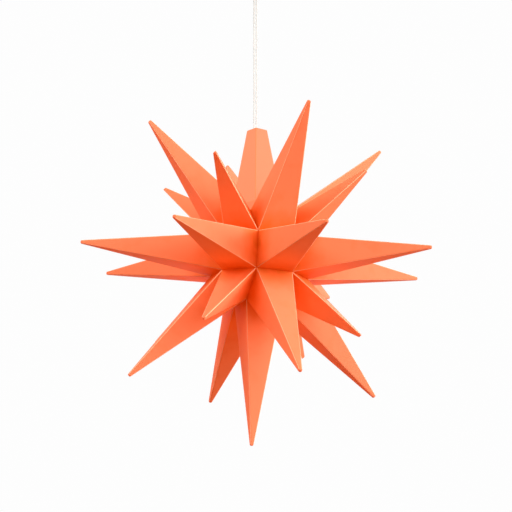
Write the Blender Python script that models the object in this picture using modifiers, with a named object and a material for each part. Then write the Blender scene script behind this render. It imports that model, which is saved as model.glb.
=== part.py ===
# A small moravian star lamp: hollow moulded points clipped together by their skirts,
# a loose cap on a thin twin lead, and the ceiling fitting that the lead hangs from.
# Units are metres, +Z is up, the origin is on the ceiling face of the fitting.
# The view that the star was made from looks along +Y.

import math

import bmesh
import bpy
from mathutils import Matrix, Vector

mm = 0.001

# Driving sizes of the star
face_edge = 13.6 * mm
long_reach = 65.4 * mm
short_reach = 50.4 * mm
point_wall = 1.0 * mm
long_tip_edge = 1.15 * mm
short_tip_edge = 1.55 * mm
hollow_tip_share = 0.5
ridge_round = 0.4 * mm
ridge_segments = 3
seam_gap = 0.1 * mm
skirt_share = 0.16

# The way the star hangs
star_side_shift = 1.6 * mm
star_lean = math.radians(2.4)
star_yaw = math.radians(19.5)

# Snap pegs on the skirts
peg_radius = 0.6 * mm
peg_clearance = 0.3 * mm
peg_sides = 8

# Clearance between pieces that lie on or in each other
seat_gap = 0.3 * mm
cut_overrun = 1.0 * mm
merge_distance = 0.01 * mm

# Lead
lead_width = 1.75 * mm
lead_thickness = 0.95 * mm
lead_length = 75.0 * mm
lead_point_spacing = 4.0 * mm

# Lamp holder, its washer and its lamp; holder_top is above the star's centre
holder_top = 27.0 * mm
holder_neck_radius = 1.9 * mm
relief_top_radius = 1.3 * mm
relief_length = 7.0 * mm
socket_radius = 3.8 * mm
socket_length = 8.0 * mm
washer_overlap = 1.3 * mm
washer_thickness = 1.4 * mm
lamp_radius = 2.5 * mm
lamp_length = 8.6 * mm
lamp_seat_depth = 2.4 * mm
dome_rings = 4

# Cap
cap_height = 29.1 * mm
cap_top_half_width = 2.7 * mm
cap_taper_share = 0.134
cap_wall = 1.0 * mm
cap_skirt_depth = 2.1 * mm
cap_skirt_inset = 2.2 * mm
cap_side_shift = 0.6 * mm
cap_lean = math.radians(-0.1)
cap_yaw = math.radians(40)

# Ceiling fitting
base_radius = 17.0 * mm
base_thickness = 3.0 * mm
screw_hole_radius = 1.9 * mm
screw_head_radius = 3.6 * mm
screw_place = 10.0 * mm
wiring_hole_radius = 3.6 * mm
wiring_hole_place = 7.4 * mm
cover_wall = 1.6 * mm
cover_side_height = 6.5 * mm
cover_height = 14.0 * mm
cover_round_rings = 6
grip_neck_radius = 3.0 * mm
grip_neck_length = 4.0 * mm
grip_flange_radius = 4.4 * mm
grip_flange_thickness = 0.8 * mm
grip_nose_radius = 2.4 * mm
grip_nose_height = 2.9 * mm
grip_bore_clearance = 0.4 * mm
nut_radius = 5.4 * mm
nut_thickness = 2.4 * mm
turn_steps = 32
small_turn_steps = 20
sharp_angle = math.radians(30)
lead_sharp_angle = math.radians(50)

# Tips that stand a little out of true on this star, as shares of the long reach:
# how far to the right, and how far up
shifted_tip_shares = {
    "middle_point_1": (-0.004, 0.000),
    "middle_point_2": (-0.002, 0.010),
    "middle_point_3": (-0.041, 0.004),
    "middle_point_4": (-0.009, -0.015),
    "middle_point_6": (0.016, -0.021),
    "middle_point_7": (-0.010, -0.016),
    "middle_point_8": (0.002, 0.001),
    "upper_point_1": (-0.010, 0.003),
    "upper_point_2": (0.000, 0.015),
    "upper_point_3": (0.012, 0.013),
    "upper_point_4": (0.031, -0.008),
    "lower_point_1": (-0.005, -0.002),
    "lower_point_2": (0.001, 0.005),
    "lower_point_3": (-0.024, -0.005),
    "lower_point_4": (0.004, 0.000),
    "bottom_point": (-0.003, -0.024),
    "upper_three_sided_point_1": (-0.010, 0.015),
    "upper_three_sided_point_3": (0.000, 0.011),
    "upper_three_sided_point_4": (0.016, -0.004),
    "lower_three_sided_point_1": (-0.018, -0.003),
}

orange = (0.95, 0.16, 0.04)
clear_white = (0.86, 0.84, 0.80)
holder_white = (0.80, 0.80, 0.78)
lamp_glass = (0.92, 0.88, 0.72)
steel_grey = (0.55, 0.55, 0.56)
ceiling_white = (0.85, 0.85, 0.84)

# Distances from the star's centre to its square and three-sided faces
square_distance = face_edge * (1 + math.sqrt(2)) / 2
triangle_distance = face_edge * (3 + math.sqrt(2)) / (2 * math.sqrt(3))

# The end of the cord grip, where the lead comes out and bends when the star swings
fitting_height = cover_height + seat_gap + grip_flange_thickness + grip_nose_height


def start_clean():
    for old in list(bpy.data.objects):
        bpy.data.objects.remove(old, do_unlink=True)
    collection = bpy.data.collections.new("moravian_star")
    bpy.context.scene.collection.children.link(collection)
    return collection


def make_material(name, colour, roughness, metallic=0.0):
    material = bpy.data.materials.new(name)
    material.use_nodes = True
    shader = material.node_tree.nodes["Principled BSDF"]
    shader.inputs["Base Color"].default_value = (*colour, 1.0)
    shader.inputs["Roughness"].default_value = roughness
    shader.inputs["Metallic"].default_value = metallic
    material.diffuse_color = (*colour, 1.0)
    return material


def add_empty(name, parent=None, location=(0, 0, 0), rotation=None):
    empty = bpy.data.objects.new(name, None)
    parts.objects.link(empty)
    empty.parent = parent
    empty.matrix_local = Matrix.Translation(location) @ (rotation or Matrix.Identity(4))
    return empty


def add_object(name, mesh, material_values, parent=None, location=(0, 0, 0), rotation=None):
    part = bpy.data.objects.new(name, mesh)
    parts.objects.link(part)
    part.parent = parent
    part.matrix_local = Matrix.Translation(location) @ (rotation or Matrix.Identity(4))
    material = make_material(name, *material_values)
    if not mesh.materials:
        mesh.materials.append(None)
    part.material_slots[0].link = 'OBJECT'
    part.material_slots[0].material = material
    return part


def mesh_from(bm, name):
    mesh = bpy.data.meshes.new(name)
    bm.to_mesh(mesh)
    bm.free()
    return mesh


def carve(mesh, tools):
    # tools are (operation, mesh) pairs, used in order
    body = bpy.data.objects.new("body", mesh)
    bpy.context.scene.collection.objects.link(body)
    helpers = [body]
    for operation, tool_mesh in tools:
        tool = bpy.data.objects.new("tool", tool_mesh)
        bpy.context.scene.collection.objects.link(tool)
        helpers.append(tool)
        change = body.modifiers.new(operation, 'BOOLEAN')
        change.operation = operation
        change.object = tool
    bpy.context.view_layer.update()
    graph = bpy.context.evaluated_depsgraph_get()
    result = bpy.data.meshes.new_from_object(body.evaluated_get(graph))
    for helper in helpers:
        bpy.data.objects.remove(helper, do_unlink=True)
    return result


def smooth(mesh, angle=sharp_angle):
    mesh.shade_smooth()
    mesh.set_sharp_from_angle(angle=angle)
    return mesh


# Points of the star

def apothem_of(edge, sides):
    # from the middle of a regular face to the middle of its edge
    return edge / 2 / math.tan(math.pi / sides)


def face_apothem(sides):
    return apothem_of(face_edge, sides)


def add_pyramid(bm, sides, low_apothem, low_z, high_apothem, high_z):
    # a closed stretch of a regular pyramid, with the middle of one side at +X
    to_corner = 1 / math.cos(math.pi / sides)
    side_to_x = Matrix.Rotation(-(math.pi / 2 + math.pi / sides), 4, 'Z')
    middle = Matrix.Translation((0, 0, (low_z + high_z) / 2))
    bmesh.ops.create_cone(
        bm, cap_ends=True, segments=sides, radius1=low_apothem * to_corner,
        radius2=high_apothem * to_corner, depth=high_z - low_z, matrix=middle @ side_to_x)


def draw_skirt(bm, share, low_z):
    # draws the pyramid's bottom face down to a smaller ring
    bottom = min(bm.faces, key=lambda face: face.calc_center_median().z)
    drawn = bmesh.ops.extrude_discrete_faces(bm, faces=[bottom])
    for vert in {vert for face in drawn["faces"] for vert in face.verts}:
        vert.co = Vector((vert.co.x * share, vert.co.y * share, low_z))


def round_ridges(bm, above_z):
    # rounds each edge that reaches higher than above_z
    ridges = [edge for edge in bm.edges if max(vert.co.z for vert in edge.verts) > above_z]
    bmesh.ops.bevel(bm, geom=ridges, offset=ridge_round, segments=ridge_segments, profile=0.5,
                    affect='EDGES', material=-1)


def point_solid(sides, distance, reach, shift, wall, below):
    # one closed pyramid with its skirt: the outer form, or with a wall the hollow inside it
    apothem = face_apothem(sides)
    half_dihedral = math.atan2(apothem, distance)
    outer_apothem = apothem - seam_gap / 2 / math.cos(half_dihedral)
    tip_apothem = apothem_of(long_tip_edge if sides == 4 else short_tip_edge, sides)
    taper = (outer_apothem - tip_apothem) / (reach - distance)
    ring_apothem = outer_apothem - wall / math.cos(math.atan(taper))
    top_apothem = tip_apothem * (hollow_tip_share if wall else 1)
    top_z = distance + (ring_apothem - top_apothem) / taper
    middle_z = (distance + top_z) / 2
    bm = bmesh.new()
    add_pyramid(bm, sides, ring_apothem, distance, top_apothem, top_z)
    for vert in bm.verts:
        if vert.co.z > middle_z:
            vert.co += shift * ((top_z - distance) / (reach - distance))
    low_z = distance * (1 - skirt_share) - below
    low_apothem = low_z * math.tan(half_dihedral) - (seam_gap / 2 + wall) / math.cos(half_dihedral)
    draw_skirt(bm, low_apothem / ring_apothem, low_z)
    if not wall:
        round_ridges(bm, middle_z)
    bmesh.ops.recalc_face_normals(bm, faces=bm.faces[:])
    return mesh_from(bm, "point")


def side_cylinders(sides, distance, wanted, radius, start, end):
    # short cylinders square to the skirt, in the middle of each wanted side
    half_dihedral = math.atan2(face_apothem(sides), distance)
    middle = Vector((face_apothem(sides), 0, distance)) * (1 - skirt_share / 2)
    outward = Vector((math.cos(half_dihedral), 0, -math.sin(half_dihedral)))
    upright = Matrix.Rotation(math.pi / 2 + half_dihedral, 4, 'Y')
    bm = bmesh.new()
    for side in wanted:
        place = Matrix.Rotation(side * 2 * math.pi / sides, 4, 'Z')
        place = place @ Matrix.Translation(middle + outward * (start + end) / 2) @ upright
        bmesh.ops.create_cone(bm, cap_ends=True, segments=peg_sides, radius1=radius,
                              radius2=radius, depth=end - start, matrix=place)
    return mesh_from(bm, "side_cylinders")


def skirt_fittings(sides, distance, peg_places):
    # pegs on some sides, and the holes that the neighbours' pegs go into on the others
    tools = []
    through = seam_gap / 2 + point_wall + seat_gap
    hole_places = [side for side in range(sides) if side not in peg_places]
    if peg_places:
        root = -(seam_gap + point_wall) / 2
        pegs = side_cylinders(sides, distance, peg_places, peg_radius, root, through)
        tools.append(('UNION', pegs))
    if hole_places:
        hole_radius = peg_radius + peg_clearance
        holes = side_cylinders(sides, distance, hole_places, hole_radius, -through, 0)
        tools.append(('DIFFERENCE', holes))
    return tools


def point_mesh(sides, distance, reach, peg_places, shift):
    outer = point_solid(sides, distance, reach, shift, 0, 0)
    hollow = point_solid(sides, distance, reach, shift, point_wall, cut_overrun)
    tools = [('DIFFERENCE', hollow)] + skirt_fittings(sides, distance, peg_places)
    return smooth(carve(outer, tools))


def facing(direction, neighbour):
    # turns local +Z to the direction and local +X towards the neighbouring face
    out = Vector(direction).normalized()
    side = Vector(neighbour) - out * Vector(neighbour).dot(out)
    side.normalize()
    return Matrix((side, out.cross(side), out)).transposed().to_4x4()


def point_rows():
    # name, direction, a neighbouring face's direction, sides, and the sides with pegs
    rows = []
    for turn in range(4):
        quarter = Matrix.Rotation(math.radians(90 * turn), 3, 'Z')
        front = quarter @ Vector((0, -1, 0))
        corner = quarter @ Vector((1, -1, 0))
        up = Vector((0, 0, 1))
        rows.append((f"middle_point_{2 * turn + 1}", front, corner, 4, ()))
        rows.append((f"middle_point_{2 * turn + 2}", corner, front, 4, (0, 2)))
        rows.append((f"upper_point_{turn + 1}", front + up, front, 4, (0, 2)))
        rows.append((f"lower_point_{turn + 1}", front - up, front, 4, (0, 2)))
        rows.append((f"upper_three_sided_point_{turn + 1}", corner + up, corner, 3, (0, 1, 2)))
        rows.append((f"lower_three_sided_point_{turn + 1}", corner - up, corner, 3, (0, 1, 2)))
    rows.append(("bottom_point", Vector((0, 0, -1)), Vector((0, -1, -1)), 4, ()))
    return rows


def build_points(star_frame):
    plain_meshes = {}
    for name, direction, neighbour, sides, peg_places in point_rows():
        rotation = facing(direction, neighbour)
        right_share, up_share = shifted_tip_shares.get(name, (0, 0))
        shift = Vector((right_share, 0, up_share)) * long_reach
        shift = (star_turned @ rotation).to_3x3().inverted() @ shift
        distance = square_distance if sides == 4 else triangle_distance
        reach = long_reach if sides == 4 else short_reach
        key = (sides, peg_places)
        if name in shifted_tip_shares:
            mesh = point_mesh(sides, distance, reach, peg_places, shift)
        else:
            if key not in plain_meshes:
                plain_meshes[key] = point_mesh(sides, distance, reach, peg_places, shift)
            mesh = plain_meshes[key]
        add_object(name, mesh, (orange, 0.35), star_frame, rotation=rotation)


def collar_block(wall, beyond):
    # the stretch of the core's top face between its rim and the end of its skirt
    slant = face_apothem(4) / square_distance
    pull = (seam_gap / 2 + wall) / math.cos(math.atan(slant))
    low_z = square_distance * (1 - skirt_share) - beyond
    high_z = square_distance + beyond
    bm = bmesh.new()
    add_pyramid(bm, 4, low_z * slant - pull, low_z, high_z * slant - pull, high_z)
    return mesh_from(bm, "collar")


def build_top_collar(star_frame):
    passage = collar_block(point_wall, cut_overrun)
    tools = [('DIFFERENCE', passage)] + skirt_fittings(4, square_distance, ())
    add_object("top_collar", carve(collar_block(0, 0), tools), (orange, 0.4), star_frame)


# Turned pieces

def turned(profile, steps, closed):
    # profile points are (radius, height), down the outer side first
    bm = bmesh.new()
    verts = [bm.verts.new((radius, 0, height)) for radius, height in profile]
    pairs = list(zip(verts, verts[1:]))
    if closed:
        pairs.append((verts[-1], verts[0]))
    for first, second in pairs:
        bm.edges.new((first, second))
    body = bpy.data.objects.new("turned", mesh_from(bm, "turned"))
    bpy.context.scene.collection.objects.link(body)
    screw = body.modifiers.new("turn", 'SCREW')
    screw.axis = 'Z'
    screw.angle = 2 * math.pi
    screw.steps = steps
    screw.render_steps = steps
    screw.use_merge_vertices = True
    screw.merge_threshold = merge_distance
    bpy.context.view_layer.update()
    graph = bpy.context.evaluated_depsgraph_get()
    mesh = bpy.data.meshes.new_from_object(body.evaluated_get(graph))
    bpy.data.objects.remove(body, do_unlink=True)
    return mesh


def arc(centre_radius, centre_height, radius, start_degrees, end_degrees, count):
    points = []
    for step in range(count + 1):
        angle = math.radians(start_degrees + (end_degrees - start_degrees) * step / count)
        points.append((centre_radius + radius * math.cos(angle),
                       centre_height + radius * math.sin(angle)))
    return points


def upright_cutters(places, low_radius, high_radius, middle_height, depth):
    # one turned cutter at each place
    bm = bmesh.new()
    for x, y in places:
        place = Matrix.Translation((x, y, middle_height))
        bmesh.ops.create_cone(bm, cap_ends=True, segments=small_turn_steps, radius1=low_radius,
                              radius2=high_radius, depth=depth, matrix=place)
    return mesh_from(bm, "cutters")


# Lamp inside the star

def washer_top_height():
    # just under the lowest corner of the leaning top collar
    rim_distance = square_distance * (1 - skirt_share)
    rim_corner = face_edge / 2 * (1 - skirt_share) * math.sqrt(2)
    return rim_distance * math.cos(star_lean) - rim_corner * math.sin(star_lean) - seat_gap


def shoulder_height():
    # the holder's shoulder, which the washer lies on
    return washer_top_height() - washer_thickness - seat_gap


def lamp_top_height():
    return shoulder_height() - socket_length + lamp_seat_depth


def build_lamp_holder(star_centre):
    # strain relief, neck and socket in one turned moulding
    shoulder = shoulder_height()
    socket_end = shoulder - socket_length
    socket_bore = lamp_radius + seat_gap
    bore_top = lamp_top_height() + seat_gap
    relief_base = holder_top - relief_length
    profile = [(0, holder_top), (relief_top_radius, holder_top), (holder_neck_radius, relief_base),
               (holder_neck_radius, shoulder), (socket_radius, shoulder),
               (socket_radius, socket_end), (socket_bore, socket_end), (socket_bore, bore_top),
               (0, bore_top)]
    mesh = smooth(turned(profile, small_turn_steps, False))
    add_object("lamp_holder", mesh, (holder_white, 0.45), star_centre)


def build_hanging_washer(star_centre):
    # wider than the collar's passage, so that the star hangs on it
    top = washer_top_height()
    bottom = top - washer_thickness
    passage_half_width = face_edge / 2 * (1 - skirt_share) - point_wall
    radius = passage_half_width + washer_overlap
    bore = holder_neck_radius + seat_gap
    profile = [(radius, top), (radius, bottom), (bore, bottom), (bore, top)]
    mesh = smooth(turned(profile, small_turn_steps, True))
    add_object("hanging_washer", mesh, (holder_white, 0.5), star_centre)


def build_led_lamp(star_centre):
    top = lamp_top_height()
    dome_centre = top - lamp_length + lamp_radius
    dome = arc(0, dome_centre, lamp_radius, 0, -90, dome_rings)[:-1]
    profile = [(0, top), (lamp_radius, top)] + dome + [(0, dome_centre - lamp_radius)]
    mesh = smooth(turned(profile, small_turn_steps, False))
    add_object("led_lamp", mesh, (lamp_glass, 0.12), star_centre)


# Cap on the lead

def upper_point_slopes():
    # a place on each upper point's inner face, and that face's upward normal
    for name, direction, neighbour, sides, peg_places in point_rows():
        if not name.startswith("upper_point"):
            continue
        out = Vector(direction).normalized()
        inward = Vector((-out.x, -out.y, out.z))
        right_share, up_share = shifted_tip_shares.get(name, (0, 0))
        edge_middle = out * square_distance + inward * (face_edge - seam_gap) / 2
        tip_middle = out * long_reach + inward * long_tip_edge / 2
        edge_middle = star_turned @ edge_middle
        tip_middle = star_turned @ tip_middle + Vector((right_share, 0, up_share)) * long_reach
        along = (star_turned @ out.cross(inward)).normalized()
        normal = (tip_middle - edge_middle).cross(along).normalized()
        yield edge_middle, normal * math.copysign(1, normal.z)


def cap_base_height(cap_rotation, base_x, low_half):
    # the cap's lower corners rest on the inner faces of the upper points
    from_star = Vector((base_x - star_side_shift, 0, 0))
    half = low_half - ridge_round * (1 - math.sqrt(0.5))
    heights = []
    for edge_middle, normal in upper_point_slopes():
        for x_side in (-1, 1):
            for y_side in (-1, 1):
                corner = cap_rotation @ Vector((x_side * half, y_side * half, 0))
                away = from_star + corner - edge_middle
                heights.append((seat_gap - away.dot(normal)) / normal.z)
    return max(heights)


def cap_solid(low_half, top_half, top_z, wall, below):
    # the cap's outer form with its short skirt, or with a wall the hollow inside it
    skirt_lean = math.atan2(cap_skirt_inset, cap_skirt_depth)
    skirt_slope = cap_skirt_inset / cap_skirt_depth
    low_z = -cap_skirt_depth - below
    skirt_half = low_half + wall - wall / math.cos(skirt_lean) + low_z * skirt_slope
    bm = bmesh.new()
    add_pyramid(bm, 4, low_half, 0, top_half, top_z)
    draw_skirt(bm, skirt_half / low_half, low_z)
    if not wall:
        round_ridges(bm, low_z / 2)
    bmesh.ops.recalc_face_normals(bm, faces=bm.faces[:])
    return mesh_from(bm, "cap")


def build_cap(star_centre):
    low_half = cap_top_half_width + cap_height * cap_taper_share
    pull = cap_wall / math.cos(math.atan(cap_taper_share))
    outer = cap_solid(low_half, cap_top_half_width, cap_height, 0, 0)
    hollow = cap_solid(low_half - pull, cap_top_half_width + cap_wall * cap_taper_share - pull,
                       cap_height - cap_wall, cap_wall, cut_overrun)
    hole_radius = lead_width / 2 + cap_side_shift + seat_gap
    hole = upright_cutters([(0, 0)], hole_radius, hole_radius, cap_height,
                           2 * (cap_wall + cut_overrun))
    mesh = smooth(carve(outer, [('DIFFERENCE', hollow), ('DIFFERENCE', hole)]))
    rotation = Matrix.Rotation(cap_lean, 4, 'Y') @ Matrix.Rotation(cap_yaw, 4, 'Z')
    base_x = cap_side_shift - cap_height * math.sin(cap_lean)
    place = (base_x, 0, cap_base_height(rotation, base_x, low_half))
    add_object("cap", mesh, (orange, 0.35), star_centre, place, rotation)


# Twin lead, straight from the cord grip to the lamp holder

def build_lead(swing_pivot):
    count = math.ceil(lead_length / lead_point_spacing)
    curve = bpy.data.curves.new("lead", 'CURVE')
    curve.dimensions = '3D'
    curve.bevel_depth = lead_width / 2
    curve.bevel_resolution = 2
    curve.use_fill_caps = True
    spline = curve.splines.new('POLY')
    spline.points.add(count)
    for index, point in enumerate(spline.points):
        point.co = (0, 0, -lead_length * index / count, 1)
    body = bpy.data.objects.new("tube", curve)
    bpy.context.scene.collection.objects.link(body)
    bpy.context.view_layer.update()
    graph = bpy.context.evaluated_depsgraph_get()
    mesh = bpy.data.meshes.new_from_object(body.evaluated_get(graph))
    bpy.data.objects.remove(body, do_unlink=True)
    bm = bmesh.new()
    bm.from_mesh(mesh)
    bmesh.ops.remove_doubles(bm, verts=bm.verts[:], dist=merge_distance)
    bmesh.ops.scale(bm, vec=(1, lead_thickness / lead_width, 1), verts=bm.verts[:])
    bmesh.ops.recalc_face_normals(bm, faces=bm.faces[:])
    bm.to_mesh(mesh)
    bm.free()
    add_object("lead", smooth(mesh, lead_sharp_angle), (clear_white, 0.25), swing_pivot)


# Ceiling fitting, heights from the ceiling face

def build_ceiling_base():
    # a disc with two countersunk screw holes, and a hole to one side for the house wiring
    disc = [(0, 0), (base_radius, 0), (base_radius, -base_thickness), (0, -base_thickness)]
    screw_places = [(-screw_place, 0), (screw_place, 0)]
    middle_height = -base_thickness / 2
    through = base_thickness + 2 * cut_overrun
    sink_depth = screw_head_radius - screw_hole_radius
    cutters = [
        upright_cutters(screw_places, screw_hole_radius, screw_hole_radius, middle_height, through),
        upright_cutters(screw_places, screw_head_radius + sink_depth, screw_hole_radius,
                        -base_thickness, 2 * sink_depth),
        upright_cutters([(0, wiring_hole_place)], wiring_hole_radius, wiring_hole_radius,
                        middle_height, through)]
    tools = [('DIFFERENCE', cutter) for cutter in cutters]
    mesh = smooth(carve(turned(disc, turn_steps, False), tools))
    add_object("ceiling_base", mesh, (ceiling_white, 0.4))


def build_ceiling_cover():
    inner = base_radius + seat_gap
    outer = inner + cover_wall
    floor_bottom = -cover_height
    floor_top = floor_bottom + cover_wall
    round_radius = cover_height - cover_side_height
    inner_round = round_radius - cover_wall
    round_centre = outer - round_radius
    hole = grip_neck_radius + seat_gap
    low_corner = arc(round_centre, -cover_side_height, round_radius, 0, -90, cover_round_rings)
    inner_corner = arc(round_centre, -cover_side_height, inner_round, -90, 0, cover_round_rings)
    profile = [(outer, -seat_gap)] + low_corner + [(hole, floor_bottom), (hole, floor_top)]
    profile += inner_corner + [(inner, -seat_gap)]
    mesh = smooth(turned(profile, turn_steps, True))
    add_object("ceiling_cover", mesh, (ceiling_white, 0.35))


def build_cord_grip():
    flange_top = -cover_height - seat_gap
    neck_top = flange_top + grip_neck_length + cover_wall
    bore = lead_width / 2 + grip_bore_clearance
    profile = [(grip_neck_radius, neck_top), (grip_neck_radius, flange_top),
               (grip_flange_radius, flange_top),
               (grip_flange_radius, flange_top - grip_flange_thickness),
               (grip_nose_radius, -fitting_height), (bore, -fitting_height), (bore, neck_top)]
    mesh = smooth(turned(profile, small_turn_steps, True))
    add_object("cord_grip", mesh, (ceiling_white, 0.4))


def build_cord_grip_nut():
    middle_height = -cover_height + cover_wall + seat_gap + nut_thickness / 2
    bm = bmesh.new()
    bmesh.ops.create_cone(bm, cap_ends=True, segments=6, radius1=nut_radius, radius2=nut_radius,
                          depth=nut_thickness, matrix=Matrix.Translation((0, 0, middle_height)))
    nut = mesh_from(bm, "nut")
    bore = grip_neck_radius + seat_gap
    through = nut_thickness + 2 * cut_overrun
    nut_bore = upright_cutters([(0, 0)], bore, bore, middle_height, through)
    mesh = smooth(carve(nut, [('DIFFERENCE', nut_bore)]))
    add_object("cord_grip_nut", mesh, (steel_grey, 0.4))


parts = start_clean()
swing_pivot = add_empty("swing_pivot", location=(0, 0, -fitting_height))
turn_axis = add_empty("turn_axis", swing_pivot, (0, 0, -lead_length))
star_centre = add_empty("star_centre", turn_axis, (0, 0, -holder_top - seat_gap))
star_turned = Matrix.Rotation(star_lean, 4, 'Y') @ Matrix.Rotation(star_yaw, 4, 'Z')
star_frame = add_empty("star_frame", star_centre, (star_side_shift, 0, 0), star_turned)
build_points(star_frame)
build_top_collar(star_frame)
build_lamp_holder(star_centre)
build_hanging_washer(star_centre)
build_led_lamp(star_centre)
build_cap(star_centre)
build_lead(swing_pivot)
build_ceiling_base()
build_ceiling_cover()
build_cord_grip()
build_cord_grip_nut()
bpy.context.view_layer.update()
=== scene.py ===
import math

import bmesh
import bpy
from mathutils import Matrix, Vector


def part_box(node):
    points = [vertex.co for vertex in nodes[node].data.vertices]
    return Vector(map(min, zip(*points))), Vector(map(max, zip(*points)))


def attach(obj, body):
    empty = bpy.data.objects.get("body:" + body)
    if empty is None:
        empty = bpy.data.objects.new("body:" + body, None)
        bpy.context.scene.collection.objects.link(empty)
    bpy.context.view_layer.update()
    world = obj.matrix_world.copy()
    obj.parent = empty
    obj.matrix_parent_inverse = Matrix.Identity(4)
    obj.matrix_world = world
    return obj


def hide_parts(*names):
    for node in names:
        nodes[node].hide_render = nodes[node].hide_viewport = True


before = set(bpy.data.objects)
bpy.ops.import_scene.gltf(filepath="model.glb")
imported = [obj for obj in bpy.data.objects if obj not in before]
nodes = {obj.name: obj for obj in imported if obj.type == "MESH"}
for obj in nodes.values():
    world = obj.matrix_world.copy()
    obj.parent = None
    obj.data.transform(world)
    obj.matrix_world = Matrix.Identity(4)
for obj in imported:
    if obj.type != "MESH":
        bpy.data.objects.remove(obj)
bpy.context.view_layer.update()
print("stage: frame loaded")

# Lengths are metres. The photograph looks along +Y, slightly upwards
starCentre = Vector((0.0016, 0.0, -0.1203))  # the middle of the star's core
noiseMiddle = 0.5  # the value about which a noise texture varies


def middleOf(node):
    low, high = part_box(node)
    return (Vector(low) + Vector(high)) / 2


# Camera, fitted to the photograph's angle and distance

shot = {
    "aim": (0.00021, -0.00031, -0.11893),
    "distance": 0.5544,
    "elevation": math.radians(-12.815),
    "lens": 108.06,
    "sensor": 36.0,
    "clipStart": 0.01,
}


def placeCamera():
    camera = bpy.data.objects.new("camera", bpy.data.cameras.new("camera"))
    bpy.context.scene.collection.objects.link(camera)
    camera.data.lens = shot["lens"]
    camera.data.sensor_width = shot["sensor"]
    camera.data.clip_start = shot["clipStart"]
    back = Vector((0, -math.cos(shot["elevation"]), math.sin(shot["elevation"])))
    camera.location = Vector(shot["aim"]) + back * shot["distance"]
    camera.rotation_euler = back.to_track_quat('Z', 'Y').to_euler()
    bpy.context.scene.camera = camera


# Small helpers for node trees

def link(tree, fromSocket, toSocket):
    tree.links.new(fromSocket, toSocket)


def addNode(tree, kind, settings=None, **inputs):
    node = tree.nodes.new(kind)
    for name, value in (settings or {}).items():
        setattr(node, name, value)
    for name, value in inputs.items():
        socket = node.inputs[name.replace("_", " ")]
        if isinstance(value, bpy.types.NodeSocket):
            link(tree, value, socket)
        else:
            socket.default_value = value
    return node


def addMath(tree, operation, first, second=0.0, clamp=False):
    node = tree.nodes.new("ShaderNodeMath")
    node.operation = operation
    node.use_clamp = clamp
    for socket, value in zip(node.inputs, (first, second)):
        if isinstance(value, bpy.types.NodeSocket):
            link(tree, value, socket)
        else:
            socket.default_value = value
    return node.outputs[0]


def mixColour(tree, share, first, second):
    node = tree.nodes.new("ShaderNodeMix")
    node.data_type = 'RGBA'  # its colour inputs are numbers 6 and 7, its colour output number 2
    for socket, value in ((node.inputs[0], share), (node.inputs[6], first), (node.inputs[7], second)):
        if isinstance(value, bpy.types.NodeSocket):
            link(tree, value, socket)
        else:
            socket.default_value = value
    return node.outputs[2]


def newGroup(name, inputs, outputs):
    group = bpy.data.node_groups.new(name, "ShaderNodeTree")
    for label, kind in inputs:
        group.interface.new_socket(name=label, in_out='INPUT', socket_type=kind)
    for label, kind in outputs:
        group.interface.new_socket(name=label, in_out='OUTPUT', socket_type=kind)
    return group, group.nodes.new("NodeGroupInput"), group.nodes.new("NodeGroupOutput")


def newMaterial(name):
    material = bpy.data.materials.new(name)
    material.use_nodes = True
    tree = material.node_tree
    return material, tree, tree.nodes["Principled BSDF"]


# Moulded star plastic with painted light: painted shade deepens it towards the core, so it is paler towards
# the tips; a painted highlight makes it paler along the ridges;
# and a painted glow stands for the red light that comes through the walls

starLook = {
    "inner": 0.014,
    "outer": 0.030,
    # painted shade: the colour towards the core
    "coreShade": (0.66, 0.150, 0.004, 1),
    "pale": (0.86, 0.258, 0.128, 1),
    # painted highlight along the ridges
    "paintedRidge": (1.0, 0.640, 0.380, 1),
    # painted glow for the light through the walls, weaker towards the core
    "deepGlow": (0.15, 0.010, 0.0, 1),
    "paleGlow": (0.50, 0.041, 0.0, 1),
    "ior": 1.49,
    "specular": 0.1,
    "cloudScale": 230.0,
    "cloudDetail": 2.0,
    "cloudRoughness": 0.45,
    "cloudLow": 0.3,
    "cloudHigh": 0.7,
    "cloudShare": 0.6,
    "smoothest": 0.50,
    "roughest": 0.60,
    "grainScale": 2600.0,
    "grainDetail": 3.0,
    "grainRoughness": 0.6,
    "grainDepth": 0.000003,
    "bumpStrength": 0.35,
}

# The cap is paler and more even than the points in the photograph. Much of its paleness is a painted glow,
# and its ridges take painted shade
capLook = {
    **starLook,
    "inner": -0.010,
    "outer": 0.012,
    "coreShade": (0.90, 0.095, 0.052, 1),
    "pale": (0.90, 0.100, 0.055, 1),
    # painted shade along the cap's ridges
    "paintedRidge": (0.90, 0.085, 0.015, 1),
    # painted glow that makes the cap paler
    "deepGlow": (0.42, 0.228, 0.104, 1),
    "paleGlow": (0.42, 0.236, 0.108, 1),
}


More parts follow.
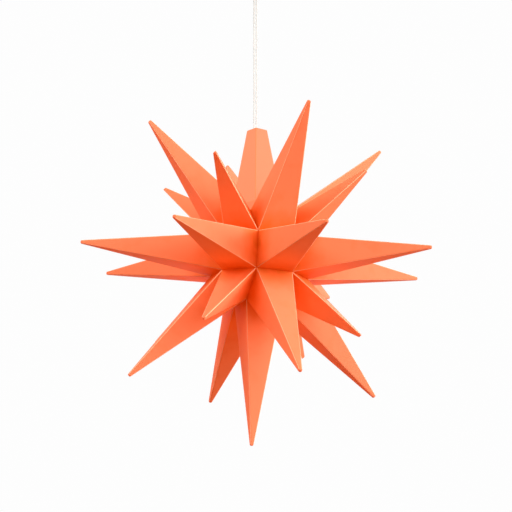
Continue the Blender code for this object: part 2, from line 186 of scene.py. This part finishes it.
def makeStarGroup():
    group, given, result = newGroup("starMoulding", (
        ("Centre", 'NodeSocketVector'), ("Inner", 'NodeSocketFloat'), ("Outer", 'NodeSocketFloat'),
        ("Core Shade", 'NodeSocketColor'), ("Pale", 'NodeSocketColor'), ("Painted Ridge", 'NodeSocketColor'),
        ("Deep Glow", 'NodeSocketColor'), ("Pale Glow", 'NodeSocketColor'),
        ("Cloud Scale", 'NodeSocketFloat'), ("Grain Scale", 'NodeSocketFloat')), (
        ("Colour", 'NodeSocketColor'), ("Glow", 'NodeSocketColor'),
        ("Roughness", 'NodeSocketFloat'), ("Height", 'NodeSocketFloat')))
    place = addNode(group, "ShaderNodeTexCoord").outputs["Object"]
    away = group.nodes.new("ShaderNodeVectorMath")
    away.operation = 'DISTANCE'
    link(group, place, away.inputs[0])
    link(group, given.outputs["Centre"], away.inputs[1])
    # painted shade: the colour deepens towards the centre, from the core shade at Inner to the pale colour
    # at Outer
    reach = addNode(group, "ShaderNodeMapRange", {"interpolation_type": 'SMOOTHSTEP'},
                    Value=away.outputs["Value"], From_Min=given.outputs["Inner"],
                    From_Max=given.outputs["Outer"]).outputs["Result"]
    cloud = addNode(group, "ShaderNodeTexNoise", Vector=place, Scale=given.outputs["Cloud Scale"],
                    Detail=starLook["cloudDetail"], Roughness=starLook["cloudRoughness"]).outputs["Fac"]
    uneven = addMath(group, 'SUBTRACT', cloud, noiseMiddle)
    drift = addMath(group, 'MULTIPLY', uneven, starLook["cloudShare"])
    share = addMath(group, 'ADD', reach, drift, clamp=True)
    body = mixColour(group, share, given.outputs["Core Shade"], given.outputs["Pale"])
    # painted ridge: the marked facets take a painted highlight on the star and painted shade on the cap
    paintedRidge = addNode(group, "ShaderNodeAttribute", {"attribute_name": "paintedRidge"}).outputs["Fac"]
    colour = mixColour(group, paintedRidge, body, given.outputs["Painted Ridge"])
    # painted glow standing for the light through the walls, weaker towards the centre
    glow = mixColour(group, share, given.outputs["Deep Glow"], given.outputs["Pale Glow"])
    grain = addNode(group, "ShaderNodeTexNoise", Vector=place, Scale=given.outputs["Grain Scale"],
                    Detail=starLook["grainDetail"], Roughness=starLook["grainRoughness"]).outputs["Fac"]
    rough = addNode(group, "ShaderNodeMapRange", Value=cloud, From_Min=starLook["cloudLow"],
                    From_Max=starLook["cloudHigh"], To_Min=starLook["smoothest"],
                    To_Max=starLook["roughest"]).outputs["Result"]
    for label, socket in (("Colour", colour), ("Glow", glow), ("Roughness", rough), ("Height", grain)):
        link(group, socket, result.inputs[label])
    return group


def makeStarMaterial(name, centre, look):
    material, tree, shader = newMaterial(name)
    skin = tree.nodes.new("ShaderNodeGroup")
    skin.node_tree = starGroup
    for label, key in (("Inner", "inner"), ("Outer", "outer"), ("Core Shade", "coreShade"), ("Pale", "pale"),
                       ("Painted Ridge", "paintedRidge"), ("Deep Glow", "deepGlow"), ("Pale Glow", "paleGlow"),
                       ("Cloud Scale", "cloudScale"), ("Grain Scale", "grainScale")):
        skin.inputs[label].default_value = look[key]
    skin.inputs["Centre"].default_value = centre
    bump = addNode(tree, "ShaderNodeBump", Height=skin.outputs["Height"],
                   Strength=look["bumpStrength"], Distance=look["grainDepth"])
    link(tree, skin.outputs["Colour"], shader.inputs["Base Color"])
    # the painted glow is the emission
    link(tree, skin.outputs["Glow"], shader.inputs["Emission Color"])
    link(tree, skin.outputs["Roughness"], shader.inputs["Roughness"])
    link(tree, bump.outputs["Normal"], shader.inputs["Normal"])
    shader.inputs["Emission Strength"].default_value = 1.0
    shader.inputs["IOR"].default_value = look["ior"]
    shader.inputs["Specular IOR Level"].default_value = look["specular"]
    return material


# Smooth pieces: merged copies of the CAD pieces, flat where they are flat and round where they are round

dressing = {
    "mergeDistance": 0.000002,
    "sharpAngle": math.radians(50),
    "flatWeight": 90,
    "widestRidge": 0.0004,
    "shortestRidge": 0.003,
    "sameFacetCosine": 0.9999,
}


def isNarrow(face):
    # a long narrow facet of the rounding between two walls of a point
    longest = max(edge.calc_length() for edge in face.edges)
    width = 2 * face.calc_area() / longest
    return width < dressing["widestRidge"] and longest > dressing["shortestRidge"]


def ridgeFaces(bm):
    # the facets along the middle of each rounding, which touch no wall along their length
    narrow = {face for face in bm.faces if isNarrow(face)}
    ridges = set()
    for face in narrow:
        beside = {other for edge in face.edges for other in edge.link_faces}
        facet = [other for other in beside if other.normal.dot(face.normal) > dressing["sameFacetCosine"]]
        longEdges = [edge for piece in facet for edge in piece.edges
                     if edge.calc_length() > dressing["shortestRidge"]]
        if all(other in narrow for edge in longEdges for other in edge.link_faces):
            ridges.add(face)
    return ridges


def dressPiece(node, body, material, markRidges=False):
    bm = bmesh.new()
    bm.from_mesh(nodes[node].data)
    bmesh.ops.remove_doubles(bm, verts=bm.verts[:], dist=dressing["mergeDistance"])
    if markRidges:
        # marks the ridge facets that take the painted ridge colour
        paintedRidge = bm.faces.layers.float.new("paintedRidge")
        bm.normal_update()
        for face in ridgeFaces(bm):
            face[paintedRidge] = 1.0
    mesh = bpy.data.meshes.new("smooth_" + node)
    bm.to_mesh(mesh)
    bm.free()
    mesh.shade_smooth()
    mesh.set_sharp_from_angle(angle=dressing["sharpAngle"])
    mesh.materials.clear()
    mesh.materials.append(material)
    piece = bpy.data.objects.new("smooth_" + node, mesh)
    bpy.context.scene.collection.objects.link(piece)
    flatten = piece.modifiers.new("flat_faces", 'WEIGHTED_NORMAL')
    flatten.keep_sharp = True
    flatten.weight = dressing["flatWeight"]
    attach(piece, body)
    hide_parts(node)


# Plain moulded plastic and plated steel, with a fine grain and slight unevenness

grainLook = {
    "patchScale": 90.0,
    "patchDetail": 3.0,
    "patchLow": 0.35,
    "patchHigh": 0.75,
    "unevenShare": 0.2,
    "grainDetail": 2.0,
    "bumpStrength": 0.3,
}


def makeGrainGroup():
    group, given, result = newGroup("fineGrain", (
        ("Base", 'NodeSocketColor'), ("Worn", 'NodeSocketColor'), ("Roughness", 'NodeSocketFloat'),
        ("Scale", 'NodeSocketFloat')), (
        ("Colour", 'NodeSocketColor'), ("Roughness", 'NodeSocketFloat'), ("Height", 'NodeSocketFloat')))
    place = addNode(group, "ShaderNodeTexCoord").outputs["Object"]
    patches = addNode(group, "ShaderNodeTexNoise", Vector=place, Scale=grainLook["patchScale"],
                      Detail=grainLook["patchDetail"]).outputs["Fac"]
    grain = addNode(group, "ShaderNodeTexNoise", Vector=place, Scale=given.outputs["Scale"],
                    Detail=grainLook["grainDetail"]).outputs["Fac"]
    share = addNode(group, "ShaderNodeMapRange", Value=patches, From_Min=grainLook["patchLow"],
                    From_Max=grainLook["patchHigh"]).outputs["Result"]
    colour = mixColour(group, share, given.outputs["Base"], given.outputs["Worn"])
    uneven = addMath(group, 'SUBTRACT', patches, noiseMiddle)
    drift = addMath(group, 'MULTIPLY', uneven, grainLook["unevenShare"])
    rough = addMath(group, 'ADD', given.outputs["Roughness"], drift)
    for label, socket in (("Colour", colour), ("Roughness", rough), ("Height", grain)):
        link(group, socket, result.inputs[label])
    return group


plainLooks = {
    "holderPlastic": {
        "base": (0.80, 0.80, 0.78, 1),
        "worn": (0.74, 0.74, 0.71, 1),
        "roughness": 0.45,
        "metallic": 0.0,
        "grainScale": 2200.0,
        "grainDepth": 0.000008,
    },
    "ceilingPlastic": {
        "base": (0.86, 0.86, 0.85, 1),
        "worn": (0.82, 0.82, 0.80, 1),
        "roughness": 0.38,
        "metallic": 0.0,
        "grainScale": 1600.0,
        "grainDepth": 0.000008,
    },
    "zincPlate": {
        "base": (0.60, 0.60, 0.59, 1),
        "worn": (0.48, 0.48, 0.47, 1),
        "roughness": 0.35,
        "metallic": 1.0,
        "grainScale": 3000.0,
        "grainDepth": 0.000004,
    },
}


def makePlainMaterial(name):
    look = plainLooks[name]
    material, tree, shader = newMaterial(name)
    grain = tree.nodes.new("ShaderNodeGroup")
    grain.node_tree = grainGroup
    for label, key in (("Base", "base"), ("Worn", "worn"), ("Roughness", "roughness"),
                       ("Scale", "grainScale")):
        grain.inputs[label].default_value = look[key]
    bump = addNode(tree, "ShaderNodeBump", Height=grain.outputs["Height"],
                   Strength=grainLook["bumpStrength"], Distance=look["grainDepth"])
    link(tree, grain.outputs["Colour"], shader.inputs["Base Color"])
    link(tree, grain.outputs["Roughness"], shader.inputs["Roughness"])
    link(tree, bump.outputs["Normal"], shader.inputs["Normal"])
    shader.inputs["Metallic"].default_value = look["metallic"]
    return material


# Lamp: clear moulding, yellow where the chip sits at its upper end

lampLook = {
    "clear": (0.96, 0.95, 0.90, 1),
    "chip": (0.95, 0.80, 0.30, 1),
    "chipDepth": 0.004,
    "chipFade": 0.0015,
    "roughness": 0.12,
    "clearShare": 0.55,
}


def makeLampMaterial():
    material, tree, shader = newMaterial("lampMoulding")
    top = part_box("led_lamp")[1].z
    place = addNode(tree, "ShaderNodeTexCoord").outputs["Object"]
    height = addNode(tree, "ShaderNodeSeparateXYZ", Vector=place).outputs["Z"]
    chip = addNode(tree, "ShaderNodeMapRange", Value=height,
                   From_Min=top - lampLook["chipDepth"] - lampLook["chipFade"],
                   From_Max=top - lampLook["chipDepth"]).outputs["Result"]
    link(tree, mixColour(tree, chip, lampLook["clear"], lampLook["chip"]), shader.inputs["Base Color"])
    shader.inputs["Roughness"].default_value = lampLook["roughness"]
    shader.inputs["Transmission Weight"].default_value = lampLook["clearShare"]
    return material


# Twin lead: two pale strands in one clear flat sheath, straight from the holder to the fitting

lead = {
    "width": 0.00175,
    "lobeRadius": 0.00042,
    "waist": 0.00030,
    "strandRadius": 0.00027,
    "outlinePoints": 48,
    "strandSides": 16,
    "endMargin": 0.0001,
    "routePoints": 26,
    "sharpAngle": math.radians(40),
}


def finishPiece(name, bm, material, body):
    bmesh.ops.recalc_face_normals(bm, faces=bm.faces[:])
    mesh = bpy.data.meshes.new(name)
    bm.to_mesh(mesh)
    bm.free()
    mesh.shade_smooth()
    mesh.set_sharp_from_angle(angle=lead["sharpAngle"])
    mesh.materials.append(material)
    piece = bpy.data.objects.new(name, mesh)
    bpy.context.scene.collection.objects.link(piece)
    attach(piece, body)
    return piece


sheathLook = {
    "clear": (1.0, 0.995, 0.985, 1),
    "hazy": (0.98, 0.97, 0.95, 1),
    "hazeScale": 400.0,
    "hazeDetail": 2.0,
    "smoothest": 0.15,
    "roughest": 0.30,
    "specular": 0.2,
    "alpha": 0.15,
}


def makeSheathMaterial():
    material, tree, shader = newMaterial("clearSheath")
    place = addNode(tree, "ShaderNodeTexCoord").outputs["Object"]
    haze = addNode(tree, "ShaderNodeTexNoise", Vector=place, Scale=sheathLook["hazeScale"],
                   Detail=sheathLook["hazeDetail"])
    colour = mixColour(tree, haze.outputs["Fac"], sheathLook["clear"], sheathLook["hazy"])
    link(tree, colour, shader.inputs["Base Color"])
    rough = addNode(tree, "ShaderNodeMapRange", Value=haze.outputs["Fac"], To_Min=sheathLook["smoothest"],
                    To_Max=sheathLook["roughest"])
    link(tree, rough.outputs["Result"], shader.inputs["Roughness"])
    shader.inputs["Specular IOR Level"].default_value = sheathLook["specular"]
    shader.inputs["Alpha"].default_value = sheathLook["alpha"]
    return material


# A weak glow stands for the light that the clear sheath scatters on to the strands
strandLook = {
    "between": (0.52, 0.50, 0.465, 1),
    "wire": (0.54, 0.52, 0.485, 1),
    "scattered": (0.42, 0.40, 0.37, 1),
    "roughness": 0.5,
    "specular": 0.1,
    "lay": (0.5, 0.6, 0.0),
    "twistScale": 900.0,
    "twistDistortion": 0.5,
    "twistDepth": 0.000001,
    "bumpStrength": 0.3,
}


def makeStrandMaterial():
    material, tree, shader = newMaterial("paleStrands")
    place = addNode(tree, "ShaderNodeTexCoord").outputs["Object"]
    turned = addNode(tree, "ShaderNodeMapping", Vector=place, Rotation=strandLook["lay"])
    strands = addNode(tree, "ShaderNodeTexWave", {"bands_direction": 'Z'}, Vector=turned.outputs["Vector"],
                      Scale=strandLook["twistScale"], Distortion=strandLook["twistDistortion"])
    colour = mixColour(tree, strands.outputs["Fac"], strandLook["between"], strandLook["wire"])
    link(tree, colour, shader.inputs["Base Color"])
    bump = addNode(tree, "ShaderNodeBump", Height=strands.outputs["Fac"],
                   Strength=strandLook["bumpStrength"], Distance=strandLook["twistDepth"])
    link(tree, bump.outputs["Normal"], shader.inputs["Normal"])
    shader.inputs["Roughness"].default_value = strandLook["roughness"]
    shader.inputs["Specular IOR Level"].default_value = strandLook["specular"]
    shader.inputs["Emission Color"].default_value = strandLook["scattered"]
    shader.inputs["Emission Strength"].default_value = 1.0
    return material


def shapeLobes(bm):
    # draws a round outline in to two lobes joined by a thin web
    lobePlace = lead["width"] / 2 - lead["lobeRadius"]
    for vert in bm.verts:
        beside = abs(vert.co.x) - lobePlace
        half = math.sqrt(max(lead["lobeRadius"] ** 2 - beside ** 2, 0))
        if beside < 0:
            half = max(half, lead["waist"] / 2)
        vert.co.y = math.copysign(half, vert.co.y)


def buildLead():
    low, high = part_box("lead")
    bottom, length = low[2], high[2] - low[2]
    bm = bmesh.new()
    bmesh.ops.create_circle(bm, cap_ends=True, segments=lead["outlinePoints"], radius=lead["width"] / 2,
                            matrix=Matrix.Translation((0, 0, bottom)))
    shapeLobes(bm)
    drawn = bmesh.ops.extrude_face_region(bm, geom=bm.faces[:])["geom"]
    drawnVerts = [item for item in drawn if isinstance(item, bmesh.types.BMVert)]
    bmesh.ops.translate(bm, verts=drawnVerts, vec=(0, 0, length))
    sheath = finishPiece("lead_sheath", bm, makeSheathMaterial(), "lead")
    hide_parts("lead")
    bm = bmesh.new()
    for side in (-1, 1):
        place = (side * (lead["width"] / 2 - lead["lobeRadius"]), 0, bottom + length / 2)
        bmesh.ops.create_cone(bm, cap_ends=True, segments=lead["strandSides"], radius1=lead["strandRadius"],
                              radius2=lead["strandRadius"], depth=length - 2 * lead["endMargin"],
                              matrix=Matrix.Translation(place))
    strands = finishPiece("lead_strands", bm, makeStrandMaterial(), "lead")


# Pale floor, light room and soft lamps

room = {
    "floorHeight": -1.1,
    "floorSize": 9.0,
    "floorColour": (0.05, 0.05, 0.05, 1),
    "floorRoughness": 0.9,
    "floorSpecular": 0.1,
    "floorLight": 0.97,
    "wallColour": (0.985, 0.985, 0.985, 1),
    "ambient": 0.01,
}

# Each lamp is a soft square sheet of light that faces the star
lamps = {
    "right": {"toward": (1.0, -0.15, 0.10), "distance": 1.5, "size": 0.8, "watts": 20.0},
    "frontRight": {"toward": (0.6, -0.72, 0.30), "distance": 1.5, "size": 1.2, "watts": 14.5},
    "frontLeft": {"toward": (-0.65, -0.6, 0.7), "distance": 1.5, "size": 1.1, "watts": 15.5},
    "left": {"toward": (-1.0, -0.2, 0.3), "distance": 1.5, "size": 0.8, "watts": 2.5},
    "behind": {"toward": (0.35, 0.75, 0.55), "distance": 1.5, "size": 1.1, "watts": 10.0},
}


def seenShare(tree):
    # 1 where the camera, a reflection or a view through clear plastic meets the room, else 0
    rays = tree.nodes.new("ShaderNodeLightPath").outputs
    mirrored = addMath(tree, 'ADD', rays["Is Camera Ray"], rays["Is Glossy Ray"])
    return addMath(tree, 'ADD', mirrored, rays["Is Transmission Ray"], clamp=True)


def makeFloor():
    bm = bmesh.new()
    bmesh.ops.create_grid(bm, x_segments=1, y_segments=1, size=room["floorSize"] / 2,
                          matrix=Matrix.Translation((0, 0, room["floorHeight"])))
    mesh = bpy.data.meshes.new("floor")
    bm.to_mesh(mesh)
    bm.free()
    floor = bpy.data.objects.new("floor", mesh)
    bpy.context.scene.collection.objects.link(floor)
    material, tree, shader = newMaterial("paleFloor")
    shader.inputs["Base Color"].default_value = room["floorColour"]
    shader.inputs["Roughness"].default_value = room["floorRoughness"]
    shader.inputs["Specular IOR Level"].default_value = room["floorSpecular"]
    shader.inputs["Emission Color"].default_value = room["wallColour"]
    link(tree, addMath(tree, 'MULTIPLY', seenShare(tree), room["floorLight"]),
         shader.inputs["Emission Strength"])
    mesh.materials.append(material)


def makeWorld():
    world = bpy.data.worlds.new("room")
    bpy.context.scene.world = world
    world.use_nodes = True
    tree = world.node_tree
    background = tree.nodes["Background"]
    strength = addNode(tree, "ShaderNodeMapRange", Value=seenShare(tree),
                       To_Min=room["ambient"], To_Max=1.0)
    background.inputs["Color"].default_value = room["wallColour"]
    link(tree, strength.outputs["Result"], background.inputs["Strength"])


def placeLamps():
    for name, lamp in lamps.items():
        light = bpy.data.lights.new(name, 'AREA')
        light.size = lamp["size"]
        light.energy = lamp["watts"]
        holder = bpy.data.objects.new(name, light)
        holder.visible_camera = False
        bpy.context.scene.collection.objects.link(holder)
        toward = Vector(lamp["toward"]).normalized()
        holder.location = starCentre + toward * lamp["distance"]
        holder.rotation_euler = toward.to_track_quat('Z', 'Y').to_euler()


placeCamera()
buildLead()
print("stage: camera and lead")

starGroup = makeStarGroup()
starMaterial = makeStarMaterial("starPlastic", starCentre, starLook)
for name in sorted(nodes):
    if "point" in name or name == "top_collar":
        dressPiece(name, "star", starMaterial, markRidges=True)
capMaterial = makeStarMaterial("capPlastic", middleOf("cap"), capLook)
dressPiece("cap", "cap", capMaterial, markRidges=True)
print("stage: star and cap")

grainGroup = makeGrainGroup()
holderMaterial = makePlainMaterial("holderPlastic")
for name in ("lamp_holder", "hanging_washer"):
    dressPiece(name, "star", holderMaterial)
dressPiece("led_lamp", "star", makeLampMaterial())
ceilingMaterial = makePlainMaterial("ceilingPlastic")
for name in ("ceiling_base", "ceiling_cover", "cord_grip"):
    dressPiece(name, "ceiling_fitting", ceilingMaterial)
dressPiece("cord_grip_nut", "ceiling_fitting", makePlainMaterial("zincPlate"))
print("stage: holder, lamp and ceiling fitting")

makeFloor()
makeWorld()
placeLamps()
bpy.context.scene.view_settings.view_transform = 'Standard'
